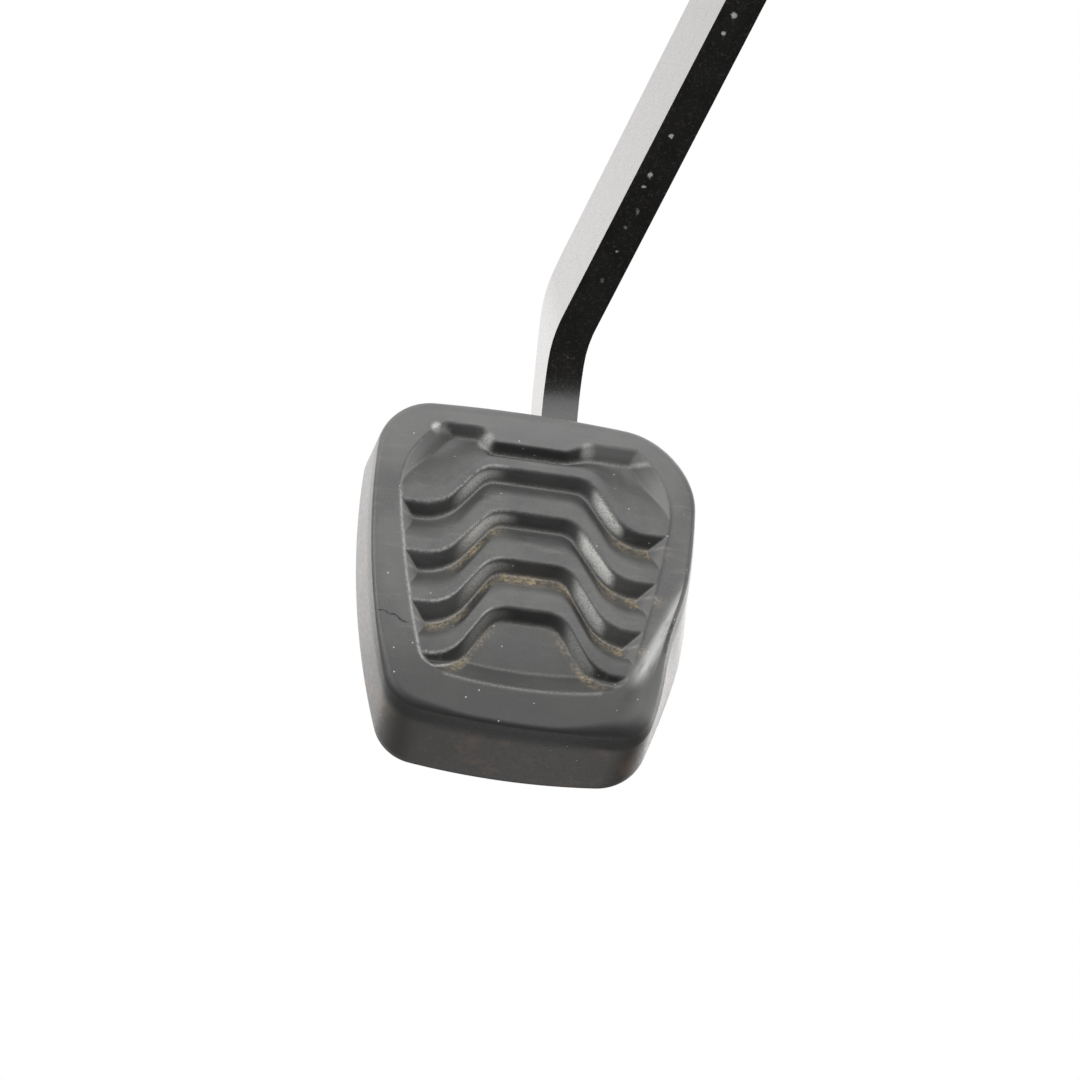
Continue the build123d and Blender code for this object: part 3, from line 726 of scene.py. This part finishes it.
def noise(tree, place, scale, detail=3.0, roughness=0.55, lift=0.0):
    """Soft noise; lift shifts it so that two noises differ."""
    moved = add(tree, "Mapping", {"Vector": place, "Location": (lift, lift, lift)})
    return add(tree, "TexNoise", {"Vector": moved, "Scale": scale, "Detail": detail, "Roughness": roughness})


def layer(tree, name, result=2):
    """Number that the mesh carries under a name; result 1 gives a vector."""
    return add(tree, "Attribute", {}, result=result, attribute_name=name)


def row_mm(tree):
    """The object's own place in millimetres: the row's axes, because every object sits at the origin."""
    place = add(tree, "TexCoord", {}, result=3)
    return add(tree, "VectorMath", {0: place, 3: 1000.0}, operation="SCALE")


print("helpers ready")

# %% [markdown]
# The rubber is a mid-dark grey, cloudy and finely grained, with faint smears across it. Painted light
# makes it lighter towards the top; it is darker towards the foot, and painted shade darkens the risers.

# %% Base of the rubber
rubber, tree, shade = material("worn_rubber")
pad_mm = layer(tree, "pad_mm", result=1)
height = add(tree, "SeparateXYZ", {"Vector": pad_mm}, result=1)
depth = add(tree, "SeparateXYZ", {"Vector": pad_mm}, result=2)
riser = layer(tree, "riser")
cloud = noise(tree, pad_mm, 0.09, detail=5.0)
fine = noise(tree, pad_mm, 2.4, detail=4.0, roughness=0.7)
coarse = noise(tree, pad_mm, 1.6, detail=5.0, roughness=0.75, lift=40.0)
smeared = add(tree, "Mapping", {"Vector": pad_mm, "Rotation": (0.0, 0.0, 0.9), "Scale": (0.12, 0.9, 0.4)})
smear = ramp(tree, noise(tree, smeared, 0.9, detail=6.0, roughness=0.7, lift=3.0), 0.52, 0.74)
# how much of each tone lies over the ones before it, and the tone
tones = (
    (ramp(tree, cloud, 0.35, 0.65), (0.088, 0.090, 0.087, 1)),
    (ramp(tree, fine, 0.35, 0.75, 0.0, 0.35), (0.13, 0.13, 0.127, 1)),
    (times(tree, smear, 0.5), (0.15, 0.15, 0.148, 1)),
    # painted light: the rubber is lighter towards the top
    (ramp(tree, height, 12.0, 31.0, 0.0, 0.55), (0.16, 0.16, 0.16, 1)),
    (ramp(tree, height, -8.0, -30.0, 0.0, 0.85), (0.034, 0.035, 0.034, 1)),
    # painted shade: the risers are darker, more so towards the foot
    (times(tree, riser, ramp(tree, height, 16.0, -16.0, 0.45, 0.85)), (0.018, 0.018, 0.018, 1)),
)
colour = (0.055, 0.057, 0.056, 1)
for amount, tone in tones:
    colour = mix_colour(tree, amount, colour, tone)
print("rubber nodes so far", len(tree.nodes))

# %% [markdown]
# The marks go over the base one after another, each with its own layer as the mask; several are painted
# light and shade. A mask alone would look painted on, so most are broken up by a noise: chalk and painted
# highlights by fine grit, lines by the rubber's grain, the fold's polish and painted highlight by streaks
# that run along the bevel.

# %% Marks on the face
bevel_turn = math.radians(-25.0)

grit = noise(tree, pad_mm, 3.2, detail=2.0, roughness=0.6, lift=70.0)
streaks = add(tree, "Mapping", {"Vector": pad_mm, "Rotation": (0.0, 0.0, bevel_turn),
                                "Scale": (1.0, 6.0, 1.0)}, vector_type="TEXTURE")
along_bevel = noise(tree, streaks, 1.1, detail=6.0)
crumbs = noise(tree, pad_mm, 1.3, detail=8.0, roughness=0.8)
# layer, strength, what breaks it up, and the colour
marks = (
    # painted light on the recess's walls
    ("wall", 0.9, 1.0, (0.22, 0.22, 0.218, 1)),
    # chalky scuffs and painted highlights
    ("chalk_and_shine", 1.0, ramp(tree, grit, 0.36, 0.52, 0.5, 1.0), (0.56, 0.56, 0.54, 1)),
    # rubbed crests with a painted highlight
    ("crest_wear_and_shine", 0.9, ramp(tree, coarse, 0.35, 0.6, 0.25, 1.0), (0.50, 0.50, 0.495, 1)),
    # a dark line down the right brim, and painted shade under the tab
    ("dark_line_and_shade", 1.0, ramp(tree, coarse, 0.3, 0.5, 0.4, 0.75), (0.020, 0.020, 0.020, 1)),
    # dust and painted light along the feet
    ("foot_dust_and_light", 0.9, ramp(tree, fine, 0.35, 0.6, 0.3, 1.0), (0.46, 0.455, 0.44, 1)),
    ("worn_rim", 0.5, 1.0, (0.15, 0.15, 0.15, 1)),
    # painted highlight along the polished fold
    ("polish_and_shine", 1.0, ramp(tree, along_bevel, 0.30, 0.55, 0.45, 1.0), (0.54, 0.545, 0.54, 1)),
    ("nick", 1.0, ramp(tree, coarse, 0.35, 0.55, 0.2, 1.0), (0.010, 0.010, 0.010, 1)),
    ("dust", 0.85, ramp(tree, crumbs, 0.42, 0.60), (0.46, 0.37, 0.23, 1)),
)
for name, strength, broken, over in marks:
    mask = times(tree, layer(tree, name), broken)
    colour = mix_colour(tree, times(tree, mask, strength), colour, over)
print("marks", [mark[0] for mark in marks])

# %% [markdown]
# The skirt below the rim is darker and stained brown. A short crack crosses the left rim: a thin band
# along a line that a noise sets wavering. Small pale specks lie everywhere, each in the middle of a cell
# of a Voronoi pattern, and only some cells have one.

# %% Skirt, crack and specks
crack_start = (-28.2, -13.6)
crack_turn = math.radians(-21.8)
crack_length = 6.4
specks_per_mm = 0.38

colour = mix_colour(tree, ramp(tree, depth, -1.2, -2.7, 0.0, 0.35), colour, (0.036, 0.037, 0.036, 1))
skirt = ramp(tree, depth, -6.0, -3.6, 1.0, 0.0)
colour = mix_colour(tree, times(tree, skirt, 0.5), colour, (0.050, 0.042, 0.036, 1))
stain = ramp(tree, noise(tree, pad_mm, 0.16, detail=7.0, roughness=0.65, lift=11.0), 0.51, 0.67)
colour = mix_colour(tree, times(tree, times(tree, skirt, stain), 0.5), colour, (0.17, 0.10, 0.06, 1))

crack_axes = add(tree, "Mapping", {"Vector": pad_mm, "Location": (*crack_start, 0.0),
                                   "Rotation": (0.0, 0.0, crack_turn)}, vector_type="TEXTURE")
crack_x = add(tree, "SeparateXYZ", {"Vector": crack_axes}, result=0)
crack_y = add(tree, "SeparateXYZ", {"Vector": crack_axes}, result=1)
waver = ramp(tree, noise(tree, pad_mm, 0.7, detail=4.0), 0.2, 0.8, -0.6, 0.6)
off_crack = add(tree, "Math", {0: combine(tree, "ADD", crack_y, waver)}, operation="ABSOLUTE")
crack_ends = times(tree, ramp(tree, crack_x, -0.3, 0.2),
                   ramp(tree, crack_x, crack_length - 1.5, crack_length, 1.0, 0.0))
in_crack = times(tree, ramp(tree, off_crack, 0.05, 0.16, 1.0, 0.0), crack_ends)
in_crack = times(tree, in_crack, ramp(tree, depth, -0.6, -0.3))
colour = mix_colour(tree, times(tree, in_crack, 0.8), colour, (0.012, 0.012, 0.012, 1))

cells = tree.nodes.new("ShaderNodeTexVoronoi")
cells.inputs["Scale"].default_value = specks_per_mm
tree.links.new(pad_mm, cells.inputs["Vector"])
chosen = add(tree, "SeparateColor", {"Color": cells.outputs["Color"]})
dot = ramp(tree, cells.outputs["Distance"], 0.035, 0.075, 1.0, 0.0)
speck = times(tree, dot, ramp(tree, chosen, 0.38, 0.42))
colour = mix_colour(tree, times(tree, speck, 0.8), colour, (0.55, 0.54, 0.52, 1))
tree.links.new(colour, shade.inputs["Base Color"])
print("rubber nodes so far", len(tree.nodes))

# %% [markdown]
# Rubber shines softly: more where it is polished, less where chalk lies on it and towards the foot. Of
# three bumps, one gives the fine grain, one the mould's coarse grain on the risers, one sinks the crack.

# %% Gloss and grain of the rubber
rough = ramp(tree, coarse, 0.3, 0.7, 0.34, 0.46)
lower = times(tree, ramp(tree, height, -10.0, -28.0), ramp(tree, depth, -6.0, -3.0, 0.35, 1.0))
for how, where, amount in (("SUBTRACT", layer(tree, "polish_and_shine"), 0.12), ("SUBTRACT", skirt, 0.06),
                           ("ADD", layer(tree, "chalk_and_shine"), 0.3), ("ADD", lower, 0.12)):
    rough = combine(tree, how, rough, times(tree, where, amount))
tree.links.new(rough, shade.inputs["Roughness"])
grain = add(tree, "Bump", {"Height": fine, "Strength": ramp(tree, depth, -6.0, -2.5, 0.08, 0.35),
                           "Distance": 0.00004})
mould = add(tree, "Bump", {"Height": coarse, "Strength": ramp(tree, riser, 0.0, 1.0, 0.07, 0.9),
                           "Distance": 0.00012, "Normal": grain})
split = add(tree, "Bump", {"Height": in_crack, "Strength": 1.0, "Distance": 0.0003, "Normal": mould},
            invert=True)
tree.links.new(split, shade.inputs["Normal"])
pad.data.materials.append(rubber)
print("rubber nodes", len(tree.nodes))

# %% [markdown]
# The arm is a flat steel bar under glossy black paint, a little wavy and pitted. Its front has pale spots,
# partly stone chips and partly painted glints in the pits, and one long painted reflection near the pad:
# each spot is a small sphere of grey round a named place, made ragged by a noise. The bar's edges were
# rolled round before painting, so modifiers join the solid's faces and bevel its edges.

# %% Painted arm
arm_edge = 0.0012
arm_front_y = -138.0
spot_ragged = 0.9
# x, z, radius, height over width and strength of each pale spot, in the row's millimetres
CHIPS_AND_GLINTS = (
    (-8.2, -142.3, 0.8, 1.0, 1.0), (-9.4, -146.1, 0.55, 1.0, 1.0), (-15.4, -167.9, 0.6, 1.0, 1.0),
    (-17.9, -176.3, 0.6, 1.3, 0.9), (-18.6, -178.9, 0.6, 0.8, 0.9), (-21.3, -192.6, 0.4, 1.0, 0.7),
    (-18.9, -184.0, 0.5, 1.6, 0.3), (-20.6, -187.5, 0.45, 1.0, 0.35), (-23.0, -199.0, 0.5, 1.5, 0.2),
    # the last spot on the next line, six times taller than wide, is a painted reflection
    (-26.5, -215.7, 0.6, 1.2, 0.6), (-28.2, -217.4, 0.5, 1.0, 0.45), (-25.3, -227.0, 0.7, 6.0, 0.7),
)

paint, tree, shade = material("black_paint_with_chips_and_glints")
place = row_mm(tree)
wavy = noise(tree, place, 0.25, detail=3.0)
pitted = noise(tree, place, 1.8, detail=4.0, roughness=0.7)
jitter = add(tree, "TexNoise", {"Vector": place, "Scale": 1.6, "Detail": 3.0}, result=1)
jitter = add(tree, "VectorMath", {0: jitter, 3: spot_ragged}, operation="SCALE")
shifted = add(tree, "VectorMath", {0: place, 1: jitter}, operation="ADD")
mean_shift = spot_ragged / 2
chips_and_glints = 0.0
for x, z, radius, tall, strength in CHIPS_AND_GLINTS:
    middle = (x + mean_shift, arm_front_y + mean_shift, z + mean_shift)
    offset = add(tree, "VectorMath", {0: shifted, 1: middle}, operation="SUBTRACT")
    offset = add(tree, "VectorMath", {0: offset, 1: (1.0, 1.0, 1.0 / tall)}, operation="MULTIPLY")
    away = add(tree, "VectorMath", {0: offset}, result=1, operation="LENGTH")
    one_spot = ramp(tree, away, 0.4 * radius, radius, strength, 0.0)
    chips_and_glints = combine(tree, "MAXIMUM", one_spot, chips_and_glints)
paint_dark, paint_light = (0.0120, 0.0114, 0.0108, 1), (0.0170, 0.0164, 0.0158, 1)
colour = mix_colour(tree, ramp(tree, wavy, 0.3, 0.7), paint_dark, paint_light)
colour = mix_colour(tree, ramp(tree, pitted, 0.54, 0.68, 0.0, 0.6), colour, (0.055, 0.053, 0.050, 1))
# pale spots: chips of bare grey and painted glints, and one painted reflection
colour = mix_colour(tree, chips_and_glints, colour, (0.50, 0.50, 0.49, 1))
tree.links.new(colour, shade.inputs["Base Color"])
tree.links.new(ramp(tree, pitted, 0.4, 0.8, 0.24, 0.38), shade.inputs["Roughness"])
shade.inputs["Coat Weight"].default_value = 0.5
shade.inputs["Coat Roughness"].default_value = 0.26
ripple = add(tree, "Bump", {"Height": wavy, "Strength": 0.25, "Distance": 0.0002})
pits = add(tree, "Bump", {"Height": pitted, "Strength": 0.12, "Distance": 0.00004, "Normal": ripple})
tree.links.new(pits, shade.inputs["Normal"])


def finish(node, made):
    """Gives a CAD node a material in every slot."""
    slots = nodes[node].data.materials
    for k in range(len(slots)):
        slots[k] = made
    if not slots:
        slots.append(made)


def round_edges(node, width):
    """Joins the faces of a CAD node and rounds its sharp edges, both with modifiers."""
    nodes[node].modifiers.new("joined", "WELD").merge_threshold = 1e-5
    soft = nodes[node].modifiers.new("rounded", "BEVEL")
    soft.width, soft.segments, soft.angle_limit = width, 3, math.radians(40)
    even = nodes[node].modifiers.new("even_shading", "WEIGHTED_NORMAL")
    even.keep_sharp, even.weight = True, 90


finish("pedal_arm", paint)
round_edges("pedal_arm", arm_edge)

# %% [markdown]
# The rest of the hardware has three kinds of finish: black electro-coat on pressed steel, zinc plate on
# bolts, nuts, sleeve and pin, and oiled spring steel. Nylon is milky and the stop's cap is black rubber.
# They differ only in tone, gloss and grain, so one function makes them all.

# %% Finishes of the other pieces
def plated(name, light, dark, rough, metal, grain_scale, bump):
    """Cloudy, finely grained finish for a small piece."""
    made, tree, shade = material(name)
    place = row_mm(tree)
    cloud = noise(tree, place, 0.12, detail=6.0)
    grit = noise(tree, place, grain_scale, detail=4.0, roughness=0.65, lift=5.0)
    colour = mix_colour(tree, ramp(tree, cloud, 0.3, 0.7), dark, light)
    colour = mix_colour(tree, ramp(tree, grit, 0.55, 0.8, 0.0, 0.4), colour, dark)
    tree.links.new(colour, shade.inputs["Base Color"])
    tree.links.new(ramp(tree, grit, 0.3, 0.7, rough - 0.06, rough + 0.1), shade.inputs["Roughness"])
    shade.inputs["Metallic"].default_value = metal
    relief = add(tree, "Bump", {"Height": grit, "Strength": bump, "Distance": 0.00005})
    tree.links.new(relief, shade.inputs["Normal"])
    return made


coat = plated("black_electrocoat", (0.020, 0.020, 0.021, 1), (0.011, 0.011, 0.012, 1), 0.42, 0.0, 0.9, 0.35)
zinc = plated("zinc_plate", (0.62, 0.60, 0.54, 1), (0.40, 0.38, 0.34, 1), 0.34, 1.0, 2.2, 0.3)
spring_steel = plated("oiled_spring_steel", (0.16, 0.15, 0.14, 1), (0.07, 0.065, 0.06, 1),
                      0.36, 1.0, 1.4, 0.3)
nylon = plated("milky_nylon", (0.72, 0.69, 0.60, 1), (0.60, 0.56, 0.47, 1), 0.45, 0.0, 0.8, 0.15)
cap_rubber = plated("cap_rubber", (0.030, 0.030, 0.031, 1), (0.018, 0.018, 0.019, 1), 0.6, 0.0, 1.6, 0.4)
finishes = {
    coat: ("mounting_bracket", "foot_plate", "pivot_hub"),
    zinc: ("pivot_bolt", "pivot_nut", "washer_right", "washer_left", "spacer_sleeve", "stop_bolt",
           "stop_weld_nut", "stop_lock_nut", "pushrod_pin"),
    nylon: ("bush_left", "bush_right", "spring_liner", "spring_saddle"),
    cap_rubber: ("stop_cap",),
}
for made, names in finishes.items():
    for name in names:
        finish(name, made)
for name, width in (("mounting_bracket", 0.0005), ("foot_plate", 0.0005), ("spring_saddle", 0.0003)):
    round_edges(name, width)
print("finished", sum(len(names) for names in finishes.values()), "pieces")

# %% [markdown]
# The return spring is round wire: a straight leg hooked into the left cheek, three turns and a bit, and
# a leg that lies across the arm. One end stays with the bracket and the other swings, so the coil winds
# up a little with each turn; blending along the coil gives just that.

# %% Return spring
WIRE_SIDES = 14
wire_radius = 1.3
coil_radius = 14.7
coil_pitch = 2.9
coil_turns = 3.3857
coil_start_x = -17.65
anchor_length = 30.0
hook_length = 7.0
leg_length = 37.884
crossing_x = 5.1
bend = 2.6


def corner_arc(before, corner, after, radius, count=8):
    """Points that round one corner of a path."""
    a, b = (before - corner), (after - corner)
    a, b = a / np.linalg.norm(a), b / np.linalg.norm(b)
    half = math.acos(float(a @ b)) / 2
    middle = corner + (a + b) / np.linalg.norm(a + b) * radius / math.sin(half)
    start, end = corner + a * radius / math.tan(half), corner + b * radius / math.tan(half)
    sweep = math.pi - 2 * half
    p, q = start - middle, end - middle
    t = np.linspace(0.0, 1.0, count)[:, None]
    return middle + (np.sin((1 - t) * sweep) * p + np.sin(t * sweep) * q) / math.sin(sweep)


def spring_path():
    """Middle line of the wire in the row's millimetres."""
    turn = np.linspace(0.0, 2 * math.pi * coil_turns, int(48 * coil_turns))
    pitch = coil_pitch / (2 * math.pi)
    middle = np.array(pivot) / MM
    coil = middle + np.stack((coil_start_x + pitch * turn, -coil_radius * np.sin(turn),
                              coil_radius * np.cos(turn)), 1) - (middle[0], 0, 0)
    heading = np.array((pitch, -coil_radius, 0.0))
    leaving = np.array((pitch, -coil_radius * math.cos(turn[-1]), -coil_radius * math.sin(turn[-1])))
    anchor = coil[0] - anchor_length * heading / np.linalg.norm(heading)
    hook = anchor - (hook_length, 0, 0)
    tail = coil[-1] + leg_length * leaving / np.linalg.norm(leaving)
    crossing = np.array((crossing_x, tail[1], tail[2]))
    return np.concatenate(([hook], corner_arc(hook, anchor, coil[0], bend), coil,
                           corner_arc(coil[-1], tail, crossing, bend), [crossing]))


def wire(name, path, radius, sides):
    """Round bar along a path, its ends closed, without twist."""
    along = np.gradient(path, axis=0)
    along /= np.linalg.norm(along, axis=1)[:, None]
    across = np.cross(along[0], (0.0, 0.3, 1.0))
    points, faces = [], []
    for k, (spot, ahead) in enumerate(zip(path, along)):
        across = across - ahead * (across @ ahead)
        across /= np.linalg.norm(across)
        third = np.cross(ahead, across)
        for i in range(sides):
            a = 2 * math.pi * i / sides
            points.append(MM * (spot + radius * (math.cos(a) * across + math.sin(a) * third)))
    for k in range(len(path) - 1):
        for i in range(sides):
            j = (i + 1) % sides
            faces.append((k * sides + i, k * sides + j, (k + 1) * sides + j, (k + 1) * sides + i))
    faces.append(tuple(reversed(range(sides))))
    faces.append(tuple(range((len(path) - 1) * sides, len(path) * sides)))
    return skin(name, [tuple(p) for p in points], faces)


spring = wire("return_wire", spring_path(), wire_radius, WIRE_SIDES)
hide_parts("return_spring")
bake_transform(spring, "bracket", "pedal", start=(-0.0175, pivot.y, pivot.z), end=(-0.0085, pivot.y, pivot.z))
spring.data.materials.append(spring_steel)

# %% [markdown]
# The arm's side is nearly white in the photograph, its front is black and the risers are dark, so the
# room is bright in some directions only: the world is a sum of soft round patches of light. The camera
# sees a plain white world in their place. Softboxes above and to the left draw the shine on the rim and
# on the right-hand risers.

# %% Light and background
softbox_distance = 0.9
softbox_size = 0.6
patch_sharpness = 14.0
# where each soft bright patch of the room lies, and its strength
PATCHES = (
    ((-0.44, 0.86, -0.24), 2.35), ((0.32, 0.88, -0.34), 2.0), ((-0.62, -0.11, 0.78), 2.6),
    ((0.22, 0.0, 0.98), 2.2), ((0.18, -0.13, -0.98), 1.3), ((0.42, 0.60, 0.68), 1.2),
    ((-0.28, 0.62, 0.73), 1.2), ((0.90, -0.05, 0.40), 2.8), ((0.80, 0.60, -0.05), 2.4),
    ((-0.90, 0.20, 0.36), 2.2), ((0.70, -0.56, -0.44), 0.5), ((-0.38, 0.54, -0.75), 0.8),
    ((0.46, 0.89, 0.06), 1.8),
)
room = bpy.data.worlds.new("room")
bpy.context.scene.world = room
room.use_nodes = True
tree = room.node_tree
tree.nodes.clear()
heading = add(tree, "TexCoord", {}, result=0)


def patch(direction, strength):
    """Soft round patch of the room."""
    near = add(tree, "VectorMath", {0: heading, 1: direction}, result=1, operation="DOT_PRODUCT")
    fall = add(tree, "Math", {0: near, 1: patch_sharpness, 2: -patch_sharpness}, operation="MULTIPLY_ADD")
    return times(tree, add(tree, "Math", {0: fall}, operation="EXPONENT"), strength)


strength = 0.0
for direction, amount in PATCHES:
    strength = combine(tree, "ADD", patch(Vector(direction).normalized(), amount), strength)


def softbox(name, direction, watts):
    """Square area lamp that stands off the pad in a direction and faces it."""
    light = bpy.data.lights.new(name, "AREA")
    light.size, light.energy = softbox_size, watts
    holder = bpy.data.objects.new(name, light)
    bpy.context.collection.objects.link(holder)
    holder.location = pad_centre + softbox_distance * Vector(direction)
    holder.rotation_euler = (pad_centre - holder.location).to_track_quat("-Z", "Y").to_euler()


glow = add(tree, "Background", {"Color": (1.0, 0.985, 0.98, 1), "Strength": strength})
seen = add(tree, "Background", {"Color": (1, 1, 1, 1), "Strength": 1.0})
shown = add(tree, "MixShader", {0: add(tree, "LightPath", {}), 1: glow, 2: seen})
tree.links.new(shown, tree.nodes.new("ShaderNodeOutputWorld").inputs["Surface"])
softbox("top_softbox", (0.04, -0.48, 0.88), 2.8)
softbox("left_softbox", (-0.80, -0.46, 0.38), 4.0)
bpy.context.scene.view_settings.view_transform = "Standard"

# %% [markdown]
# The pedal stands clear of a plain pale floor, which shows as the same white as the background. Only the
# camera sees it, so it throws no shade.

# %% Floor
floor_half = 1.5
floor_drop = 0.002
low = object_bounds()[0][2] - floor_drop
corners = [(x * floor_half, y * floor_half, low) for x, y in ((-1, -1), (1, -1), (1, 1), (-1, 1))]
floor = skin("floor", corners, [(0, 1, 2, 3)])
pale, tree, shade = material("pale_floor")
white = add(tree, "Emission", {"Color": (1, 1, 1, 1), "Strength": 1.0})
clear = add(tree, "BsdfTransparent", {})
shown = add(tree, "MixShader", {0: add(tree, "LightPath", {}), 1: clear, 2: white})
tree.links.new(shown, tree.nodes["Material Output"].inputs["Surface"])
floor.data.materials.append(pale)
print("floor at", round(low, 4))
